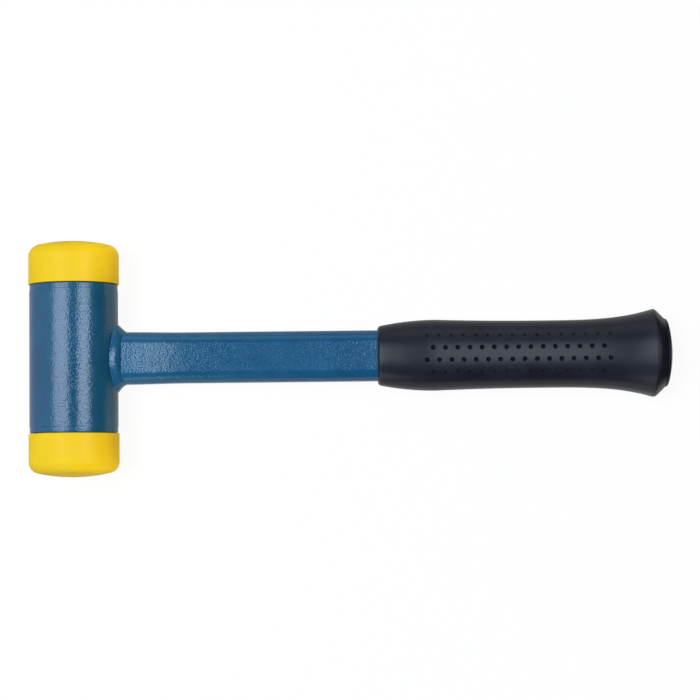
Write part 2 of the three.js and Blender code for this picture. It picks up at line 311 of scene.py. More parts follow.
    @staticmethod
    def bar(name: str, low: Vector, high: Vector, corner: float, steps: int) -> bpy.types.Object:
        """A bar along X with its four long edges rounded.

        Args:
            name: Name of the new object.
            low: Lowest corner of the bar.
            high: Highest corner of the bar.
            corner: Radius of the long edges.
            steps: Number of steps round each of them.

        Returns:
            The new object, still in edit mode.
        """
        piece = Bench.begin(
            name,
            bpy.ops.mesh.primitive_cube_add,
            size=1,
            location=(low + high) / 2,
            scale=high - low,
        )
        Bench.pick_lengthwise(piece)
        bpy.ops.mesh.bevel(offset=corner, segments=steps, affect="EDGES")
        return piece


class Wire:
    """One output of a finish's node graph. Arithmetic on it adds Math nodes."""

    def __init__(self, graph: "Graph", socket: bpy.types.NodeSocket) -> None:
        """Keep the graph and the socket that this wire comes from."""
        self.graph = graph
        self.socket = socket

    def beside(self, name: str) -> "Wire":
        """Another output of the same node."""
        return Wire(self.graph, self.socket.node.outputs[name])

    def _math(self, operation: str, first: Any, second: Any) -> "Wire":
        """Add one Math node and return its output."""
        return self.graph.node("ShaderNodeMath", {"operation": operation}, {0: first, 1: second})

    def __add__(self, other: Any) -> "Wire":
        """Sum of this and another value."""
        return self._math("ADD", self, other)

    def __radd__(self, other: Any) -> "Wire":
        """Sum of another value and this."""
        return self._math("ADD", other, self)

    def __sub__(self, other: Any) -> "Wire":
        """This less another value."""
        return self._math("SUBTRACT", self, other)

    def __rsub__(self, other: Any) -> "Wire":
        """Another value less this."""
        return self._math("SUBTRACT", other, self)

    def __mul__(self, other: Any) -> "Wire":
        """Product of this and another value."""
        return self._math("MULTIPLY", self, other)

    def __rmul__(self, other: Any) -> "Wire":
        """Product of another value and this."""
        return self._math("MULTIPLY", other, self)

    def larger(self, other: Any) -> "Wire":
        """The larger of this and another value."""
        return self._math("MAXIMUM", self, other)

    def size(self) -> "Wire":
        """This without its sign."""
        return self.graph.node("ShaderNodeMath", {"operation": "ABSOLUTE"}, {0: self})

    def step(self, low: float, high: float) -> "Wire":
        """Zero below one value, one above another, and smooth between them.

        Args:
            low: Where the result starts to rise.
            high: Where it has reached one. It may be lower than the first.

        Returns:
            The result, between zero and one.
        """
        settings = {"interpolation_type": "SMOOTHSTEP", "clamp": True}
        inputs = {"Value": self, "From Min": low, "From Max": high}
        return self.graph.node("ShaderNodeMapRange", settings, inputs)


class Graph:
    """The node graph of a material or of the world."""

    # The colour sockets of a Mix node, by number: its sockets for all kinds share their names
    MIX_FIRST = 6
    MIX_SECOND = 7
    MIX_RESULT = 2

    def __init__(self, owner: bpy.types.Material | bpy.types.World) -> None:
        """Empty the owner's graph.

        Args:
            owner: The material or world that the graph belongs to.
        """
        owner.use_nodes = True
        self.tree = owner.node_tree
        self.tree.nodes.clear()

    def node(
        self,
        kind: str,
        settings: Mapping[str, Any] | None = None,
        inputs: Mapping[Any, Any] | None = None,
        output: int | str = 0,
    ) -> Wire:
        """Add one node.

        Args:
            kind: Type of the node.
            settings: Its fields, by name.
            inputs: Values or wires of its sockets, by name or number.
            output: The output that is wanted, by name or number.

        Returns:
            That output.
        """
        made = self.tree.nodes.new(kind)
        for name, value in (settings or {}).items():
            setattr(made, name, value)
        for name, value in (inputs or {}).items():
            if isinstance(value, Wire):
                self.tree.links.new(value.socket, made.inputs[name])
            elif isinstance(value, tuple) and made.inputs[name].type == "RGBA":
                made.inputs[name].default_value = (*value, 1)
            else:
                made.inputs[name].default_value = value
        return Wire(self, made.outputs[output])

    def place(self) -> Wire:
        """The place on the piece, in the frame of the whole hammer."""
        return self.node("ShaderNodeTexCoord", output="Object")

    def clouds(self, place: Wire, size: float, detail: float = 2, lean: float = 0) -> Wire:
        """Soft random patches between zero and one.

        Args:
            place: Where the patches are read.
            size: About how large one patch is.
            detail: How many finer layers are added.
            lean: How far the patches are drawn out of shape.

        Returns:
            The value at that place.
        """
        inputs = {"Vector": place, "Scale": 1 / size, "Detail": detail, "Distortion": lean}
        return self.node("ShaderNodeTexNoise", inputs=inputs)

    def stretch(self, place: Wire, scale: Place) -> Wire:
        """A place with its three numbers multiplied, so that a pattern on it is drawn out."""
        return self.node("ShaderNodeMapping", inputs={"Vector": place, "Scale": scale})

    def blend(self, share: Wire, first: Wire | Colour, second: Wire | Colour) -> Wire:
        """A colour between two others.

        Args:
            share: Zero for the first colour, one for the second.
            first: The first colour.
            second: The second colour.

        Returns:
            The colour between them.
        """
        inputs = {"Factor": share, self.MIX_FIRST: first, self.MIX_SECOND: second}
        return self.node("ShaderNodeMix", {"data_type": "RGBA"}, inputs, self.MIX_RESULT)

    def bump(self, height: Wire, depth: float) -> Wire:
        """A normal bent by a height.

        Args:
            height: The height, about from zero to one.
            depth: What a height of one measures.

        Returns:
            The bent normal.
        """
        inputs = {"Height": height, "Distance": depth, "Strength": 1.0}
        return self.node("ShaderNodeBump", inputs=inputs, output="Normal")

    def surface(self, shader: Wire, output: str = "ShaderNodeOutputMaterial") -> None:
        """Show a shader on the surface, or in the world.

        Args:
            shader: The shader.
            output: Type of the output node.
        """
        made = self.tree.nodes.new(output)
        self.tree.links.new(shader.socket, made.inputs["Surface"])


@dataclass(frozen=True)
class Finish:
    """A finish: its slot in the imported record, its gloss, and how much of that its flanks lose.

    Two coats in one slot differ in their coat's name. A span holds the two values between which
    a mask goes from zero to one.
    """

    slot: str
    coat: str = "finish"
    refraction: float = 1.5
    flank_loss: float = 0.0
    flank_span: Span = (0.12, 0.5)

    def shader(self, graph: Graph) -> Mapping[str, Any]:
        """The inputs of the surface shader.

        Args:
            graph: The graph that the inputs are added to.

        Returns:
            Values or wires by the name of the shader's socket.
        """
        raise NotImplementedError

    def material(self) -> bpy.types.Material:
        """The material of this finish, made at its first use.

        Returns:
            The material, the same one at each use.
        """
        name = f"{self.slot}_{self.coat}"
        made = bpy.data.materials.get(name)
        if made is None:
            made = bpy.data.materials.new(name)
            graph = Graph(made)
            inputs = {"IOR": self.refraction, **self.shader(graph)}
            glossy = graph.node("ShaderNodeBsdfPrincipled", inputs=inputs)
            matt_inputs = {**inputs, "Specular IOR Level": 0.0}
            dull = graph.node("ShaderNodeBsdfPrincipled", inputs=matt_inputs)
            facing = graph.node("ShaderNodeLayerWeight", output="Facing")
            share = facing.step(*self.flank_span) * self.flank_loss
            graph.surface(graph.node("ShaderNodeMixShader", inputs={0: share, 1: glossy, 2: dull}))
        return made

    def dress(self, piece: bpy.types.Object, body: Body, *nodes: str) -> None:
        """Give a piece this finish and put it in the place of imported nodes.

        Args:
            piece: The finished piece.
            body: The body that it rides on.
            *nodes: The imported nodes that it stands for.
        """
        piece.data.materials.clear()
        piece.data.materials.append(self.material())
        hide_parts(*nodes)
        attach(piece, body.value)
        LOG.info("%s: %d faces, for %s", piece.name, len(piece.data.polygons), ", ".join(nodes))


@dataclass(frozen=True)
class HammerPaint(Finish):
    """Thick blue stoving paint with the pebbled skin that it sets to."""

    slot: str = "blue_paint"
    flank_loss: float = 0.50
    body: Colour = (0.0105, 0.0955, 0.2160)
    deep: Colour = (0.0075, 0.0800, 0.1840)
    pale: Colour = (0.0220, 0.1220, 0.2500)
    flake: float = 0.03
    pebble: float = 0.0008
    swell: float = 0.0034
    cloud: float = 0.018
    relief: float = 0.00012
    cloud_span: Span = (0.35, 0.68)
    # Paler pebble tops and darker pebble hollows are painted highlight and painted shade
    top_span: Span = (0.52, 0.76)
    painted_top_highlight: float = 0.45
    hollow_span: Span = (0.42, 0.24)
    painted_hollow_shade: float = 0.5
    pebble_lift: float = 0.8
    swell_lift: float = 0.7
    roughness: float = 0.14
    cloud_roughness: float = 0.05
    pebble_roughness: float = 0.04

    def shader(self, graph: Graph) -> Mapping[str, Any]:
        """Blue with random darker patches, darker pebble hollows (painted shade), paler pebble tops
        (painted highlight) and an uneven gloss.

        Args:
            graph: The graph that the inputs are added to.

        Returns:
            Values or wires by the name of the shader's socket.
        """
        place = graph.place()
        pebbles = graph.clouds(place, self.pebble, detail=1.5, lean=0.3)
        swells = graph.clouds(place, self.swell)
        cloud = graph.clouds(place, self.cloud, detail=3)
        tone = graph.blend(cloud.step(*self.cloud_span), self.deep, self.body)
        # Paler on the pebbles' tops and darker in their hollows, by the bump's own height: painted
        # highlight and painted shade
        tone = graph.blend(pebbles.step(*self.top_span) * self.painted_top_highlight, tone, self.pale)
        tone = graph.blend(pebbles.step(*self.hollow_span) * self.painted_hollow_shade, tone, self.deep)
        height = pebbles * self.pebble_lift + swells * self.swell_lift
        roughness = self.roughness + cloud * self.cloud_roughness + pebbles * self.pebble_roughness
        return {
            "Base Color": tone,
            "Metallic": self.flake,
            "Roughness": roughness,
            "Normal": graph.bump(height, self.relief),
        }


@dataclass(frozen=True)
class BarrelPaint(HammerPaint):
    """The same paint on the barrel, with deeper pebbles and darker tones: the darker tones are
    painted shade, a shaded copy of the handle's paint.
    """

    coat: str = "painted_shade_coat"
    # Tones darker than the handle's: painted shade on the barrel
    body: Colour = (0.0090, 0.0820, 0.1800)
    deep: Colour = (0.0065, 0.0690, 0.1530)
    pale: Colour = (0.0190, 0.1050, 0.2100)
    relief: float = 0.00014


@dataclass(frozen=True)
class MouldedFace(Finish):
    """Yellow moulded face, satin, with faint flow marks and a few scuffs on the crown."""

    slot: str = "face_polyurethane"
    refraction: float = 1.32
    flank_loss: float = 0.6
    body: Colour = (0.800, 0.545, 0.006)
    ripe: Colour = (0.770, 0.512, 0.004)
    scuffed: Colour = (0.680, 0.460, 0.035)
    crown_span: Span = (0.0495, 0.052)
    cloud: float = 0.014
    grain: float = 0.00045
    scratch: float = 0.0016
    scratch_draw: Place = (1.0, 1.0, 0.12)
    relief: float = 0.000012
    cloud_span: Span = (0.3, 0.7)
    cloud_lift: float = 2.0
    wear_span: Span = (0.58, 0.72)
    wear_share: float = 0.35
    wear_depth: float = 3.0
    roughness: float = 0.42
    cloud_roughness: float = 0.1
    wear_roughness: float = 0.25

    def shader(self, graph: Graph) -> Mapping[str, Any]:
        """Yellow with soft clouds of a riper tone, and wear where the face strikes.

        Args:
            graph: The graph that the inputs are added to.

        Returns:
            Values or wires by the name of the shader's socket.
        """
        place = graph.place()
        along = graph.node("ShaderNodeSeparateXYZ", inputs={0: place}, output="Y")
        cloud = graph.clouds(place, self.cloud, detail=3, lean=0.4)
        grain = graph.clouds(place, self.grain)
        drawn = graph.stretch(place, self.scratch_draw)
        scratches = graph.clouds(drawn, self.scratch, detail=3, lean=0.2)
        struck = along.size().step(*self.crown_span)
        worn = struck * scratches.step(*self.wear_span) * self.wear_share
        tone = graph.blend(cloud.step(*self.cloud_span), self.ripe, self.body)
        height = grain + cloud * self.cloud_lift - worn * self.wear_depth
        return {
            "Base Color": graph.blend(worn, tone, self.scuffed),
            "Roughness": self.roughness + cloud * self.cloud_roughness + worn * self.wear_roughness,
            "Normal": graph.bump(height, self.relief),
        }


@dataclass(frozen=True)
class GripRubber(Finish):
    """Dark rubber with a fine matt skin, rubbed a little on the edges of the flare."""

    slot: str = "grip_rubber"
    refraction: float = 1.38
    flank_loss: float = 0.40
    body: Colour = (0.0130, 0.0150, 0.0235)
    dark: Colour = (0.0095, 0.0110, 0.0175)
    rubbed: Colour = (0.0300, 0.0310, 0.0350)
    cloud: float = 0.011
    grain: float = 0.00032
    relief: float = 0.000018
    cloud_span: Span = (0.32, 0.7)
    edge_span: Span = (0.52, 0.60)
    roughness: float = 0.27
    cloud_roughness: float = 0.08
    grain_roughness: float = 0.06

    def shader(self, graph: Graph) -> Mapping[str, Any]:
        """Near black with a trace of blue, and greyer where an edge stands out.

        Args:
            graph: The graph that the inputs are added to.

        Returns:
            Values or wires by the name of the shader's socket.
        """
        place = graph.place()
        cloud = graph.clouds(place, self.cloud, detail=3, lean=0.5)
        grain = graph.clouds(place, self.grain)
        edges = graph.node("ShaderNodeNewGeometry", output="Pointiness").step(*self.edge_span)
        tone = graph.blend(cloud.step(*self.cloud_span), self.dark, self.body)
        roughness = self.roughness + cloud * self.cloud_roughness + grain * self.grain_roughness
        return {
            "Base Color": graph.blend(edges * grain, tone, self.rubbed),
            "Roughness": roughness,
            "Normal": graph.bump(grain + cloud, self.relief),
        }


@dataclass(frozen=True)
class CapPlastic(Finish):
    """Smooth black plastic of the end cap."""

    slot: str = "cap_plastic"
    refraction: float = 1.4
    flank_loss: float = 0.5
    body: Colour = (0.0150, 0.0155, 0.0215)
    rubbed: Colour = (0.0230, 0.0235, 0.0300)
    cloud: float = 0.006
    scratch: float = 0.0012
    scratch_draw: Place = (1.0, 0.15, 1.0)
    relief: float = 0.000008
    wear_span: Span = (0.56, 0.7)
    wear_share: float = 0.4
    roughness: float = 0.26
    cloud_roughness: float = 0.1
    wear_roughness: float = 0.12

    def shader(self, graph: Graph) -> Mapping[str, Any]:
        """Black with fine scratches in the gloss.

        Args:
            graph: The graph that the inputs are added to.

        Returns:
            Values or wires by the name of the shader's socket.
        """
        place = graph.place()
        cloud = graph.clouds(place, self.cloud, detail=3)
        drawn = graph.stretch(place, self.scratch_draw)
        scratches = graph.clouds(drawn, self.scratch, detail=3)
        worn = scratches.step(*self.wear_span)
        return {
            "Base Color": graph.blend(worn * self.wear_share, self.body, self.rubbed),
            "Roughness": self.roughness + cloud * self.cloud_roughness + worn * self.wear_roughness,
            "Normal": graph.bump(cloud + scratches, self.relief),
        }


@dataclass(frozen=True)
class BareSteel(Finish):
    """Bare steel of the balls and the chamber discs, dulled by the blows."""

    slot: str = "bare_steel"
    body: Colour = (0.520, 0.530, 0.545)
    dull: Colour = (0.300, 0.295, 0.290)
    cloud: float = 0.003
    dent: float = 0.0008
    relief: float = 0.00003
    dull_span: Span = (0.4, 0.68)
    dull_loss: float = 0.15
    roughness: float = 0.24
    dull_roughness: float = 0.22

    def shader(self, graph: Graph) -> Mapping[str, Any]:
        """Steel with dull patches and small dents.

        Args:
            graph: The graph that the inputs are added to.

        Returns:
            Values or wires by the name of the shader's socket.
        """
        place = graph.place()
        cloud = graph.clouds(place, self.cloud, detail=4, lean=0.6)
        dents = graph.clouds(place, self.dent)
        dull = cloud.step(*self.dull_span)
        return {
            "Base Color": graph.blend(dull, self.body, self.dull),
            "Metallic": 1 - dull * self.dull_loss,
            "Roughness": self.roughness + dull * self.dull_roughness,
            "Normal": graph.bump(dents, self.relief),
        }


@dataclass
class Head:
    """The barrel with a strike face and a chamber disc in each end."""

    land_length: float = 0.0024
    land_depth: float = 0.00015
    edge_round: float = 0.0003
    socket_wall: float = 0.0024
    disc_shoulder: float = 0.0008
    disc_chamfer: float = 0.0005
    crown_rise: float = 0.0028
    face_edge: float = 0.0051
    seam_round: float = 0.0003
    spigot_chamfer: float = 0.001
    barb_pitch: float = 0.0026
    barb_height: float = 0.0005
    turn_steps: int = 144
    round_steps: int = 8
    crown_steps: int = 14
    turned_sharp: float = 25
    moulded_sharp: float = 35
    paint: Finish = field(default_factory=BarrelPaint)
    moulded: Finish = field(default_factory=MouldedFace)
    steel: Finish = field(default_factory=BareSteel)

    def __post_init__(self) -> None:
        """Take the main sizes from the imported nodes."""
        low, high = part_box("barrel")
        self.centre = (low + high) / 2
        self.radius = (high.x - low.x) / 2
        self.half = (high.y - low.y) / 2
        low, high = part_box("strike_face_upper")
        self.face_radius = (high.x - low.x) / 2
        self.spigot_end = low.y
        self.crown_top = high.y
        low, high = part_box("chamber_disc_upper")
        self.disc_radius = (high.x - low.x) / 2
        self.disc_ends = (low.y, high.y)
        self.socket = self.radius - self.socket_wall
        self.chamber = self.socket - self.disc_shoulder
        self.gap = self.socket - self.disc_radius
        self.shoulder = self.half + self.gap

    def build(self) -> None:
        """Model and dress the five pieces."""
        self.paint.dress(self.barrel(), Body.HAMMER, "barrel")
        for side in Side:
            place = side.name.lower()
            self.moulded.dress(self.face(side), Body.HAMMER, f"strike_face_{place}")
            self.steel.dress(self.disc(side), Body.HAMMER, f"chamber_disc_{place}")

    def spun(
        self, name: str, outline: Iterable[Vector], side: Side, sharp_over: float
    ) -> bpy.types.Object:
        """Spin an outline round the barrel's axis and close it.

        Args:
            name: Name of the new object.
            outline: Points as distance from the axis and distance from the barrel's middle.
            side: The end of the barrel that the second of them goes towards.
            sharp_over: Angle in degrees over which an edge stays sharp.

        Returns:
            The finished piece.
        """
        along = Vector((0, side.value, 0))
        piece = Bench.turn(name, outline, self.centre, along, self.turn_steps)
        return Bench.close(piece, sharp_over)

    def barrel(self) -> bpy.types.Object:
        """The bored tube with a turned land at each end.

        Returns:
            The finished barrel.
        """
        land = self.radius - self.land_depth
        land_start = self.half - self.land_length
        corner = Vector((land - self.edge_round, self.half - self.edge_round))
        seat = self.disc_ends[0] - self.gap
        upper = [
            Vector((self.radius, 0)),
            Vector((self.radius, land_start - self.land_depth)),
            Vector((land, land_start)),
            *arc(corner, self.edge_round, 0, QUARTER_TURN, self.round_steps),
            Vector((self.socket, self.half)),
            Vector((self.socket, seat)),
            Vector((self.chamber, seat)),
        ]
        lower = [Vector((reach, -height)) for reach, height in reversed(upper)]
        outline = [*upper, *lower]
        return self.spun("barrel_painted", outline, Side.UPPER, self.turned_sharp)

    def face(self, side: Side) -> bpy.types.Object:
        """A moulded face: crown, rounded edge, side, seam and barbed spigot.

        Args:
            side: The end of the barrel that it is pressed into.

        Returns:
            The finished face.
        """
        barb = self.socket - self.gap
        core = barb - self.barb_height
        outline = [Vector((0, self.spigot_end))]
        outline.append(Vector((core - self.spigot_chamfer, self.spigot_end)))
        foot = self.spigot_end + self.spigot_chamfer
        while foot + self.barb_pitch <= self.shoulder:
            outline.append(Vector((core, foot)))
            foot += self.barb_pitch
            outline.append(Vector((barb, foot - self.barb_height)))
        outline.append(Vector((core, foot)))
        outline.append(Vector((core, self.shoulder)))
        seam = Vector((self.face_radius - self.seam_round, self.shoulder + self.seam_round))
        outline += arc(seam, self.seam_round, -QUARTER_TURN, 0, self.round_steps)
        top = Vector((self.face_radius, self.crown_top))
        outline += crowned(top, self.crown_rise, self.face_edge, self.crown_steps)
        name = f"strike_face_{side.name.lower()}_moulded"
        return self.spun(name, outline, side, self.moulded_sharp)

    def disc(self, side: Side) -> bpy.types.Object:
        """The steel disc that closes one end of the chamber.

        Args:
            side: The end of the barrel that it closes.

        Returns:
            The finished disc.
        """
        near, far = self.disc_ends
        rim = self.disc_radius - self.disc_chamfer
        outline = [
            Vector((0, near)),
            Vector((rim, near)),
            Vector((self.disc_radius, near + self.disc_chamfer)),
            Vector((self.disc_radius, far - self.disc_chamfer)),
            Vector((rim, far)),
            Vector((0, far)),
        ]
        name = f"chamber_disc_{side.name.lower()}_turned"
        return self.spun(name, outline, side, self.turned_sharp)


@dataclass
class Charge:
    """The loose steel balls in the barrel.

    Each is turned by spread_turn, in radians, beyond the one before it.
    """

    cuts: int = 7
    dent_size: float = 0.002
    dent_depth: float = 0.00003
    spread_turn: float = 2.4
    sharp_over: float = 60
    steel: Finish = field(default_factory=BareSteel)

    def build(self) -> None:
        """Model one ball and put a copy in the place of each packed ball."""
        names = sorted(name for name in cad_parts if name.startswith("shot_ball_"))
        low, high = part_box(names[0])
        pattern = self.ball((high.y - low.y) / 2)
        for index, name in enumerate(names):
            low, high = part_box(name)
            piece = pattern.copy()
            piece.data = pattern.data.copy()
            piece.name = piece.data.name = name.replace("ball", "steel")
            turned = Matrix.Rotation(self.spread_turn * index, 4, Vector((1, 1, index % 3)))
            piece.data.transform(Matrix.Translation((low + high) / 2) @ turned)
            bpy.context.scene.collection.objects.link(piece)
            self.steel.dress(piece, Body.SHOT, name)
        bpy.data.objects.remove(pattern)

    def ball(self, radius: float) -> bpy.types.Object:
        """A ball with slight dents.

        Args:
            radius: Radius of the ball.

        Returns:
            The ball, at the origin.
        """
        piece = Bench.begin("shot_pattern", bpy.ops.mesh.primitive_cube_add, size=radius)
        bpy.ops.mesh.subdivide(number_cuts=self.cuts)

        def dented(point: Vector) -> Vector:
            """Bring a point of the cube onto the ball, a little under its radius.

            Args:
                point: The point on the cube.

            Returns:
                The new point.
            """
            outwards = point.normalized()
            dent = noise.noise(outwards * radius / self.dent_size) + 1
            return outwards * (radius - self.dent_depth * dent)

        Bench.shape(piece, dented)
        return Bench.close(piece, self.sharp_over)


@dataclass
class Handle:
    """The flattened tube and the weld that joins it to the barrel.

    Pinch, waist and flare are shares of the tube's size. The weld's bulge, hollow and sag are
    shares of its height over the tube.
    """

    corner: float = 0.0056
    wall: float = TUBE_WALL
    gap: float = FIT_GAP
    press_start: float = 0.005
    press_length: float = 0.026
    pinch: float = 0.105
    waist: float = 0.019
    flare: float = 0.012
    weld_run_broad: float = 0.0030
    weld_run_narrow: float = 0.00375
    weld_foot_corner: float = 0.0016
    weld_foot_narrow: float = 0.0037
    weld_foot_swell: float = 0.00075
    weld_foot_neck: float = 0.0014
    weld_bulge: float = 1.03
    weld_hollow: float = 0.4
    weld_sag: float = 0.3
    weld_sink: float = 0.00005
    ripple_size: float = 0.0013
    ripple: float = 0.00002
    corner_steps: int = 16
    ring_cuts: int = 90
    bead_steps: int = 16
    bead_cuts: int = 40
    turn_steps: int = 192
    end_facing: float = 0.9
    tube_sharp: float = 30
    weld_sharp: float = 50
    paint: Finish = field(default_factory=HammerPaint)

    def __post_init__(self) -> None:
        """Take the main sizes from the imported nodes."""
        self.low, self.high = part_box("handle_tube")
        self.axis = (self.low + self.high) / 2
        half = (self.high - self.low) / 2
        self.inner = half - Vector((0, self.corner - self.flare * half.y, self.corner))
        low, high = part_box("barrel")
        self.barrel_centre = (low + high) / 2
        self.barrel_radius = (high.x - low.x) / 2
        self.foot_reach = -self.gap - self.weld_sink

    def build(self) -> None:
        """Model and dress the tube and the weld."""
        self.paint.dress(self.tube(), Body.HAMMER, "handle_tube")
        self.paint.dress(self.weld(), Body.HAMMER, "weld_bead")

    def barrel_side(self, height: float) -> float:
        """X of the barrel's side, one gap out from it, at a height over its axis."""
        reach = (self.barrel_radius + self.gap) ** 2 - height**2
        return self.barrel_centre.x + math.sqrt(reach)

    def pressed(self, point: Vector) -> Vector:
        """A point of the tube after the press, which thins it towards the weld.

        Args:
            point: The point on the plain tube.

        Returns:
            The new point.
        """
        run = point.x - self.low.x - self.press_start
        share = max(0, min(1, run / self.press_length))
        share = share**2 * (3 - 2 * share)
        way = point - self.axis
        way.y *= 1 + self.flare * (1 - share) - self.waist * share
        way.z *= 1 - self.pinch * (1 - share)
        return self.axis + way

    def tube(self) -> bpy.types.Object:
        """The tube, open at both ends and coped to the barrel.

        Returns:
            The finished tube.
        """
        low, high = self.low.copy(), self.high.copy()
        low.x = self.barrel_centre.x
        piece = Bench.bar("handle_painted", low, high, self.corner, self.corner_steps)
        Bench.pick_lengthwise(piece)
        bpy.ops.mesh.subdivide(number_cuts=self.ring_cuts)
        bpy.ops.mesh.select_all(action="SELECT")
        Bench.shape(piece, self.pressed)
        Bench.pick_faces(piece, lambda _, normal: abs(normal.x) > self.end_facing)
        bpy.ops.mesh.delete(type="FACE")
        Bench.close(piece, self.tube_sharp)
        Bench.modify(piece, "SOLIDIFY", thickness=self.wall, offset=-1, use_even_offset=True)
        reach = self.barrel_radius + self.gap
        cope = Bench.begin(
            "cope",
            bpy.ops.mesh.primitive_cylinder_add,
            vertices=self.turn_steps,
            radius=reach,
            depth=4 * reach,
            location=self.barrel_centre,
            rotation=(QUARTER_TURN, 0, 0),
        )
        Bench.close(cope, TOOL_SHARP)
        Bench.combine(piece, cope, "DIFFERENCE")
        return Bench.smooth(piece, self.tube_sharp)

    def weld(self) -> bpy.types.Object:
        """The weld: a rounded bead round the tube, drawn out ring by ring from the barrel.

        Returns:
            The finished weld.
        """
        size = self.high - self.low
        centre = Vector((self.barrel_side(0), self.axis.y, self.axis.z))
        piece = Bench.begin(
            "weld_painted",
            bpy.ops.mesh.primitive_plane_add,
            size=1,
            location=centre,
            rotation=(0, QUARTER_TURN, 0),
        )
        spread = (1, size.y * (1 + self.flare), size.z)
        bpy.ops.transform.resize(value=spread, center_override=centre)
        bpy.ops.mesh.bevel(offset=self.corner, segments=self.corner_steps, affect="VERTICES")
        bpy.ops.mesh.delete(type="ONLY_FACE")
        # The straight sides are longer than this, and a step round a corner is shorter
        long_edge = 2 * self.corner / self.corner_steps
        Bench.pick_edges(piece, lambda one, two: (one - two).length > long_edge)
        bpy.ops.mesh.subdivide(number_cuts=self.bead_cuts)
        bpy.ops.mesh.select_all(action="SELECT")
        before = 0.0
        for step in range(self.bead_steps + 1):
            share = step / self.bead_steps
            Bench.shape(piece, lambda point: self.bead_point(self.outwards(point, before), share))
            bpy.ops.mesh.extrude_region_move()
            before = share
        # The inner edge lies on the barrel, in line with the edge on the tube
        inner = (-self.weld_sink, self.foot_reach, 1.0)
        Bench.shape(piece, lambda point: self.section_point(self.outwards(point, 1), *inner))
        bpy.ops.mesh.extrude_region_move()
        Bench.shape(piece, lambda point: self.bead_point(self.outwards(point, 1), 0))
        return Bench.close(piece, self.weld_sharp)

    def outwards(self, point: Vector, share: float) -> tuple[Vector, Vector]:
        """The centre of the tube's corner that a point belongs to, and the way out from it.

        Args:
            point: A point near the tube's surface.
            share: How far the press has thinned the section there, from zero to one.

        Returns:
            The centre, as Y and Z from the tube's axis, and a direction of length one.
        """
        inner = self.inner
        across = point.y - self.axis.y
        up = (point.z - self.axis.z) / (1 - self.pinch * share)
        core = Vector(
            (max(-inner.y, min(inner.y, across)), max(-inner.z, min(inner.z, up)))
        )
        return core, (Vector((across, up)) - core).normalized()

    def section_point(
        self, place: tuple[Vector, Vector], growth: float, reach: float, share: float
    ) -> Vector:
        """A point over the tube's section, at a distance from the barrel's side.

        Args:
            place: The place on the section, as outwards gives it.
            growth: Distance out from the tube's surface.
            reach: Distance along X from the barrel's side.
            share: How far the press has thinned the section, from zero to one.

        Returns:
            The new point.
        """
        core, way = place
        across, up = core + way * (self.corner + growth)
        up *= 1 - self.pinch * share
        return Vector((self.barrel_side(up) + reach, self.axis.y + across, self.axis.z + up))

    def bead_point(self, place: tuple[Vector, Vector], share: float) -> Vector:
        """A point on the rounded and rippled outside of the weld.

        On the barrel the weld spreads into an oval. On the tube it ends square to the axis.

        Args:
            place: The place on the section, as outwards gives it.
            share: Zero on the barrel, one on the tube.

        Returns:
            The new point.
        """
        core, way = place
        narrow, broad = way.x**2, way.y**2
        foot = self.weld_foot_corner + (self.weld_foot_narrow - self.weld_foot_corner) * narrow
        foot += self.weld_foot_swell * (1 - (core.x / self.inner.y) ** 2)
        foot -= self.weld_foot_neck * abs(way.x) * broad
        run = self.weld_run_broad * broad + self.weld_run_narrow * narrow
        bulge = self.weld_bulge * broad * (1 + share) - self.weld_hollow * narrow
        bulge += self.weld_sag * way.x
        ripple = self.ripple * noise.noise(self.section_point(place, 0, 0, 0) / self.ripple_size)
        ripple *= math.sin(math.pi * share)
        growth = foot * (1 - share) * (1 + bulge * share) - self.weld_sink * share + ripple
        start = self.section_point(place, foot, self.foot_reach, 0)
        end = self.section_point(place, -self.weld_sink, run, 1)
        bead = self.section_point(place, growth, 0, share)
        bead.x = start.x + (end.x - start.x) * share + ripple
        return bead


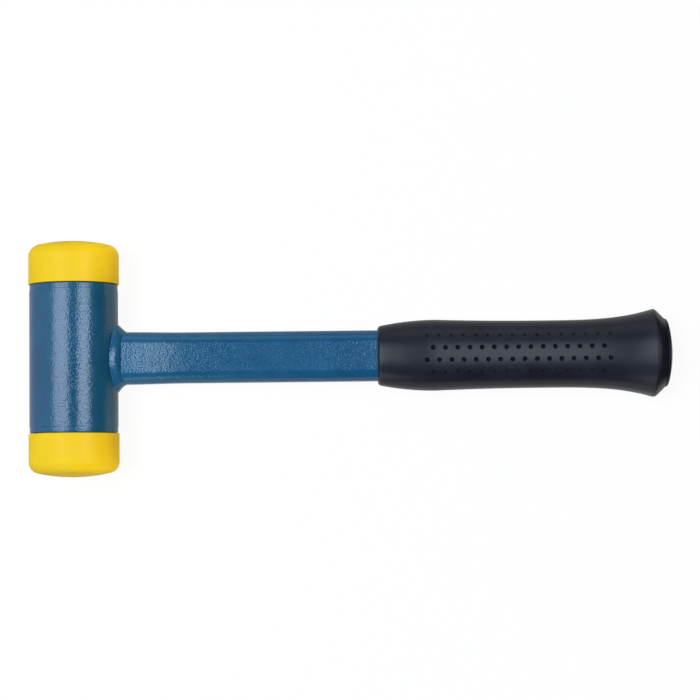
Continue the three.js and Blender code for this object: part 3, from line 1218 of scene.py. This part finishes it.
@dataclass
class Grip:
    """The dimpled rubber sleeve on the end of the tube, and its end cap.

    A half is half the width and half the thickness. Squareness and flare_power are exponents.
    """

    nose: float = 0.0256
    palm: float = 0.0451
    rim: float = 0.001
    chamfer: float = 0.0039
    mouth_half: tuple[float, float] = (0.013, 0.01075)
    swell_half: tuple[float, float] = (0.0157, 0.0135)
    waist_half: tuple[float, float] = (0.0149, 0.01275)
    mouth_round: float = 0.0014
    rim_round: float = 0.0005
    squareness: float = 2.5
    flare_power: float = 3.5
    tube_corner: float = 0.0052
    tube_gap: float = FIT_GAP
    tube_wall: float = TUBE_WALL
    dimple_radius: float = 0.0011
    dimple_tip: float = 0.00045
    dimple_depth: float = 0.0021
    dimple_pitch: float = 0.00535
    dimple_rows: int = 4
    row_pitch: float = 0.0054
    dimple_setback: float = 0.0216
    dimple_tail: float = 0.0240
    dimple_steps: int = 20
    cap_crown: float = 0.0023
    cap_edge: float = 0.0012
    cap_side: float = 0.0001
    stem_fins: int = 3
    fin_thickness: float = 0.0012
    fin_height: float = 0.001
    oval_steps: int = 144
    turn_steps: int = 96
    run_step: float = 0.0014
    end_step: float = 0.0002
    round_steps: int = 6
    sharp_over: float = 40
    rubber: Finish = field(default_factory=GripRubber)
    plastic: Finish = field(default_factory=CapPlastic)

    def __post_init__(self) -> None:
        """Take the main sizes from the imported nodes."""
        self.low, self.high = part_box("grip_sleeve")
        self.axis = (self.low + self.high) / 2
        self.length = self.high.x - self.low.x
        self.rim_half = ((self.high.y - self.low.y) / 2, (self.high.z - self.low.z) / 2)
        self.tube_low, self.tube_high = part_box("handle_tube")
        self.cap_low, self.cap_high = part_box("grip_end_cap")
        self.end_radius = self.rim_half[0] - self.chamfer
        self.flare_end = self.length - self.chamfer - self.rim
        self.flare = self.flare_end - self.nose - self.palm

    def build(self) -> None:
        """Model and dress the sleeve and the cap."""
        self.rubber.dress(self.sleeve(), Body.HAMMER, "grip_sleeve")
        self.plastic.dress(self.cap(), Body.HAMMER, "grip_end_cap")

    def half_at(self, run: float) -> Vector:
        """Half the width and half the thickness at a distance from the mouth.

        Args:
            run: Distance from the mouth.

        Returns:
            The two halves, along Y and Z.
        """
        mouth, swell = Vector(self.mouth_half), Vector(self.swell_half)
        waist, rim = Vector(self.waist_half), Vector(self.rim_half)
        if run < self.nose:
            return swell.lerp(mouth, (1 - run / self.nose) ** 2)
        if run < self.nose + self.palm:
            return waist.lerp(swell, (1 - (run - self.nose) / self.palm) ** 2)
        opened = min(1, (run - self.nose - self.palm) / self.flare)
        return waist.lerp(rim, opened**self.flare_power)

    def on_skin(self, point: Vector, run: float) -> Vector:
        """The place on the outside of the sleeve in a point's direction from the axis.

        Args:
            point: A point that lies in the same direction from the axis.
            run: Distance from the mouth.

        Returns:
            The new point.
        """
        way = Vector((point.y - self.axis.y, point.z - self.axis.z)).normalized()
        turned = max(0, 1 - run / self.mouth_round)
        inset = self.mouth_round * (1 - math.sqrt(1 - turned**2))
        half = self.half_at(run) - Vector((inset, inset))
        power = self.squareness
        oval = (abs(way.x / half.x) ** power + abs(way.y / half.y) ** power) ** (-1 / power)
        cone = self.end_radius + self.length - run
        reach = (oval + cone - math.hypot(oval - cone, self.rim_round)) / 2
        across, up = way * reach
        return Vector((self.low.x + run, self.axis.y + across, self.axis.z + up))

    def runs(self) -> list[float]:
        """Distances from the mouth of the rings that the sleeve is drawn through.

        Returns:
            The distances in order, closer together at the rounded ends.
        """
        turns = (QUARTER_TURN * step / self.round_steps for step in range(self.round_steps))
        runs = [self.mouth_round * (1 - math.cos(turn)) for turn in turns]
        end_start = self.flare_end - 2 * self.chamfer
        for start, end, step in (
            (self.mouth_round, end_start, self.run_step),
            (end_start, self.length, self.end_step),
        ):
            count = round((end - start) / step)
            runs += [start + (end - start) * index / count for index in range(count)]
        return [*runs, self.length]

    def sleeve(self) -> bpy.types.Object:
        """The rubber sleeve: flared outside, bore for the tube, dimples on both broad sides.

        Returns:
            The finished sleeve.
        """
        runs = self.runs()
        piece = Bench.begin(
            "grip_moulded",
            bpy.ops.mesh.primitive_circle_add,
            vertices=self.oval_steps,
            radius=self.end_radius,
            location=(self.low.x, self.axis.y, self.axis.z),
            rotation=(0, QUARTER_TURN, 0),
        )
        Bench.shape(piece, lambda point: self.on_skin(point, runs[0]))
        for run in runs[1:]:
            bpy.ops.mesh.extrude_region_move()
            Bench.shape(piece, lambda point: self.on_skin(point, run))
        bpy.ops.mesh.select_all(action="SELECT")
        bpy.ops.mesh.fill_holes(sides=0)
        Bench.close(piece, self.sharp_over)
        Bench.combine(piece, self.tube_space(), "DIFFERENCE")
        for side in (1, -1):
            Bench.combine(piece, self.dimples(side), "DIFFERENCE")
        return Bench.smooth(piece, self.sharp_over)

    def tube_space(self) -> bpy.types.Object:
        """The room in the sleeve that the tube goes through.

        Returns:
            The shape that is cut out.
        """
        margin = Vector((self.chamfer, self.tube_gap, self.tube_gap))
        low, high = self.tube_low - margin, self.tube_high + margin
        low.x = self.low.x - self.chamfer
        return self.tool("tube_space", low, high, self.tube_corner + self.tube_gap)

    def tool(self, name: str, low: Vector, high: Vector, corner: float) -> bpy.types.Object:
        """A bar along X that is cut out of a piece or joined to it."""
        return Bench.close(Bench.bar(name, low, high, corner, self.round_steps), TOOL_SHARP)

    def dimples(self, side: int) -> bpy.types.Object:
        """Pins that mould the dimples of one broad side, all drawn straight out of it.

        Args:
            side: The broad side, 1 for the upper one and -1 for the lower one.

        Returns:
            All the pins as one shape.
        """
        places = []
        length = self.length - self.dimple_setback - self.dimple_tail
        for row in range(self.dimple_rows):
            across = side * ((self.dimple_rows - 1) / 2 - row) * self.row_pitch
            along = row % 2 * self.dimple_pitch / 2
            while along <= length:
                run = self.dimple_setback + along
                up = side * self.half_at(run).y
                places.append(Vector((self.low.x + run, self.axis.y + across, self.axis.z + up)))
                along += self.dimple_pitch
        tip = Vector((0, self.dimple_tip - self.dimple_depth))
        lean = math.atan2(self.dimple_radius - self.dimple_tip, self.dimple_depth)
        outline = arc(tip, self.dimple_tip, -QUARTER_TURN, -lean, self.round_steps)
        outline[0].x = 0
        mouth = Vector((self.dimple_radius, 0))
        # The pin stands as far out of the skin as its straight side goes into it
        outline += [mouth, 2 * mouth - outline[-1]]
        outline.append(Vector((0, outline[-1].y)))
        pin = Bench.turn("pins", outline, places[0], Vector((0, 0, side)), self.dimple_steps)
        bpy.ops.mesh.select_all(action="SELECT")
        bpy.ops.mesh.remove_doubles(threshold=MERGE_DISTANCE)
        for here, there in zip(places, places[1:]):
            bpy.ops.mesh.duplicate_move(TRANSFORM_OT_translate={"value": there - here})
        return Bench.close(pin, TOOL_SHARP)

    def cap(self) -> bpy.types.Object:
        """The end cap: a domed plate, and a finned stem in the end of the tube.

        Returns:
            The finished cap.
        """
        seat = self.high.x + self.tube_gap
        radius = (self.cap_high.y - self.cap_low.y) / 2
        top = Vector((radius, self.cap_high.x - seat))
        outline = [Vector((0, 0)), Vector((radius, 0))]
        outline += crowned(top, self.cap_crown, self.cap_edge, 2 * self.round_steps)
        foot = Vector((seat, self.axis.y, self.axis.z))
        piece = Bench.turn("end_cap_moulded", outline, foot, Vector((1, 0, 0)), self.turn_steps)
        Bench.close(piece, self.sharp_over)
        for part in self.stem(seat):
            Bench.combine(piece, part, "UNION")
        return Bench.smooth(piece, self.sharp_over)

    def stem(self, seat: float) -> list[bpy.types.Object]:
        """The bar and the fins that hold the cap in the tube.

        Args:
            seat: X of the plate's back.

        Returns:
            The shapes that are joined to the plate.
        """
        pitch = (seat - self.cap_low.x) / (self.stem_fins + 1)
        first_fin = self.cap_low.x + self.fin_thickness
        fin_inset = self.tube_wall + self.tube_gap
        stem_inset = fin_inset + self.fin_height
        parts = [self.stem_bar("stem", self.cap_low.x, seat + self.cap_side, stem_inset)]
        for index in range(self.stem_fins):
            start = first_fin + index * pitch
            parts.append(self.stem_bar("fin", start, start + self.fin_thickness, fin_inset))
        return parts

    def stem_bar(self, name: str, start: float, end: float, inset: float) -> bpy.types.Object:
        """A stretch of the stem, set in from the tube's outside all round.

        Args:
            name: Name of the new object.
            start: X of its first end.
            end: X of its other end.
            inset: Distance in from the tube's outside.

        Returns:
            The shape that is joined to the plate.
        """
        margin = Vector((0, inset, inset))
        low, high = self.tube_low + margin, self.tube_high - margin
        low.x, high.x = start, end
        return self.tool(name, low, high, self.tube_corner - inset)


@dataclass(frozen=True)
class SoftBox:
    """A soft light that looks at the hammer.

    Lean is its angle from straight up and azimuth its angle round from +X, both in degrees.
    """

    name: str
    lean: float
    azimuth: float
    distance: float
    width: float
    length: float
    radiance: float
    use: Use = Use.GLOSS
    colour: Colour = (0.95, 1.00, 1.05)
    aim: Place = FOCUS

    def build(self) -> None:
        """Put the light at its place."""
        lean, azimuth = math.radians(self.lean), math.radians(self.azimuth)
        flat = math.sin(lean)
        away = Vector((flat * math.cos(azimuth), flat * math.sin(azimuth), math.cos(lean)))
        bpy.ops.object.select_all(action="DESELECT")
        bpy.ops.object.light_add(type="AREA", location=Vector(self.aim) + self.distance * away)
        lamp = bpy.context.active_object
        lamp.name = self.name
        lamp.rotation_euler = away.to_track_quat("Z", "Y").to_euler()
        lamp.data.shape = "RECTANGLE"
        lamp.data.size = self.width
        lamp.data.size_y = self.length
        lamp.data.energy = self.radiance * math.pi * self.width * self.length
        lamp.data.color = self.colour
        lamp.visible_camera = False
        lamp.visible_glossy = self.use is Use.GLOSS
        lamp.visible_diffuse = self.use is Use.SHADE


def face_card(side: Side) -> SoftBox:
    """The small warm light beside one strike face, on the side of the handle.

    Args:
        side: The end of the barrel that the face is in.

    Returns:
        The light.
    """
    return SoftBox(
        f"{side.name.lower()}_card",
        lean=65,
        azimuth=35 * side.value,
        distance=0.045,
        width=0.03,
        length=0.03,
        radiance=4.6,
        use=Use.SHADE,
        colour=(1.0, 0.8, 0.2),
        aim=(-0.1045, 0.043 * side.value, 0.032),
    )


@dataclass
class Studio:
    """The floor, the light and the camera, whose tilt and roll are in degrees."""

    floor_size: float = 12.0
    floor_colour: Colour = (0.93, 0.93, 0.93)
    floor_glow: float = 0.94
    sky: float = 0.10
    room_reach: float = 2.6
    room_colour: Colour = (0.012, 0.012, 0.013)
    flag_place: float = 0.170
    flag_size: float = 0.300
    focus: Place = FOCUS
    camera_distance: float = 0.95
    camera_tilt: float = 3.45
    camera_roll: float = 0.62
    image_width: int = 700
    pixels_per_metre: float = 2254.0
    sensor: float = 36.0
    lights: tuple[SoftBox, ...] = (
        SoftBox(
            "key_light", lean=18, azimuth=176, distance=2.5,
            width=1.0, length=1.0, radiance=21.2, use=Use.SHADE,
        ),
        SoftBox(
            "soft_box_left", lean=35.3, azimuth=172, distance=0.68,
            width=0.30, length=0.44, radiance=5.1,
        ),
        SoftBox(
            "soft_box_right", lean=26.8, azimuth=9, distance=0.68,
            width=0.27, length=0.446, radiance=6.2, colour=(0.95, 1.02, 1.14),
        ),
        SoftBox(
            "front_card", lean=69, azimuth=-118, distance=0.75,
            width=0.57, length=0.38, radiance=2.0, aim=(-0.09, 0.0, 0.02),
        ),
        SoftBox(
            "back_card", lean=62, azimuth=90, distance=1.5,
            width=2.0, length=1.0, radiance=0.75,
        ),
        SoftBox(
            "left_card", lean=74, azimuth=180, distance=1.5,
            width=0.9, length=1.0, radiance=0.85,
        ),
        *map(face_card, Side),
    )

    def build(self) -> None:
        """Set up the stage, the lights, the world and the camera."""
        self.floor()
        self.room()
        self.world()
        for light in self.lights:
            light.build()
        self.camera()
        bpy.context.scene.view_settings.view_transform = "Standard"

    @staticmethod
    def seen(graph: Graph) -> Wire:
        """One for rays that show the background: from the camera, a reflection or through glass.

        Args:
            graph: The graph that the nodes are added to.

        Returns:
            One for such a ray, zero for any other.
        """
        camera = graph.node("ShaderNodeLightPath", output="Is Camera Ray")
        glossy, glass = camera.beside("Is Glossy Ray"), camera.beside("Is Transmission Ray")
        return camera.larger(glossy).larger(glass)

    @staticmethod
    def put(
        name: str, material: bpy.types.Material, add: Callable[..., Any], **settings: Any
    ) -> bpy.types.Object:
        """Add a primitive to the stage.

        Args:
            name: Name of the new object.
            material: Its material.
            add: Operator that adds the primitive.
            **settings: Settings of that operator.

        Returns:
            The new object, in object mode.
        """
        piece = Bench.begin(name, add, **settings)
        bpy.ops.object.mode_set(mode="OBJECT")
        piece.data.materials.append(material)
        return piece

    def floor(self) -> None:
        """A plain pale floor that looks white and still takes the hammer's shadow."""
        material = bpy.data.materials.new("pale_floor")
        graph = Graph(material)
        share = self.seen(graph) * self.floor_glow
        pale = graph.node("ShaderNodeBsdfDiffuse", inputs={"Color": self.floor_colour})
        glow = graph.node("ShaderNodeEmission", inputs={"Strength": 1.0})
        graph.surface(graph.node("ShaderNodeMixShader", inputs={0: share, 1: pale, 2: glow}))
        self.put("floor", material, bpy.ops.mesh.primitive_plane_add, size=self.floor_size)

    def room(self) -> None:
        """The dark room and a dark flag past the grip's end, which only reflections show."""
        material = bpy.data.materials.new("dark_wall")
        graph = Graph(material)
        wall = graph.node("ShaderNodeBsdfDiffuse", inputs={"Color": self.room_colour})
        graph.surface(wall)
        add = bpy.ops.mesh.primitive_uv_sphere_add
        sphere = self.put("dark_room", material, add, radius=self.room_reach)
        flag = self.put(
            "dark_flag",
            material,
            bpy.ops.mesh.primitive_plane_add,
            size=self.flag_size,
            location=(self.flag_place, 0, self.flag_size / 2),
            rotation=(0, QUARTER_TURN, 0),
        )
        for piece in (sphere, flag):
            piece.visible_camera = False
            piece.visible_diffuse = False
            piece.visible_shadow = False

    def world(self) -> None:
        """A weak even light from all round, white where the background shows."""
        world = bpy.data.worlds.new("studio")
        bpy.context.scene.world = world
        graph = Graph(world)
        seen = self.seen(graph)
        weak = graph.node("ShaderNodeBackground", inputs={"Strength": self.sky})
        white = graph.node("ShaderNodeBackground", inputs={"Strength": 1.0})
        both = graph.node("ShaderNodeMixShader", inputs={0: seen, 1: weak, 2: white})
        graph.surface(both, "ShaderNodeOutputWorld")

    def camera(self) -> None:
        """The camera over the hammer, a little below it in the picture and rolled a little."""
        tilt, roll = math.radians(self.camera_tilt), math.radians(self.camera_roll)
        back = Vector((0, -math.sin(tilt), math.cos(tilt)))
        bpy.ops.object.select_all(action="DESELECT")
        bpy.ops.object.camera_add()
        camera = bpy.context.active_object
        camera.name = "camera"
        upright = Matrix.Rotation(tilt, 4, "X")
        placed = Matrix.Translation(Vector(self.focus) + self.camera_distance * back)
        camera.matrix_world = placed @ upright @ Matrix.Rotation(-roll, 4, "Z")
        focal = self.camera_distance * self.pixels_per_metre
        camera.data.sensor_width = self.sensor
        camera.data.lens = self.sensor * focal / self.image_width
        bpy.context.scene.camera = camera


def main() -> None:
    """Build the studio and every sub-assembly, in order."""
    logging.basicConfig(level=logging.INFO, format="%(message)s")
    for part in (Studio(), Head(), Charge(), Handle(), Grip()):
        LOG.info("building the %s", type(part).__name__.lower())
        part.build()


if __name__ == "__main__":
    main()
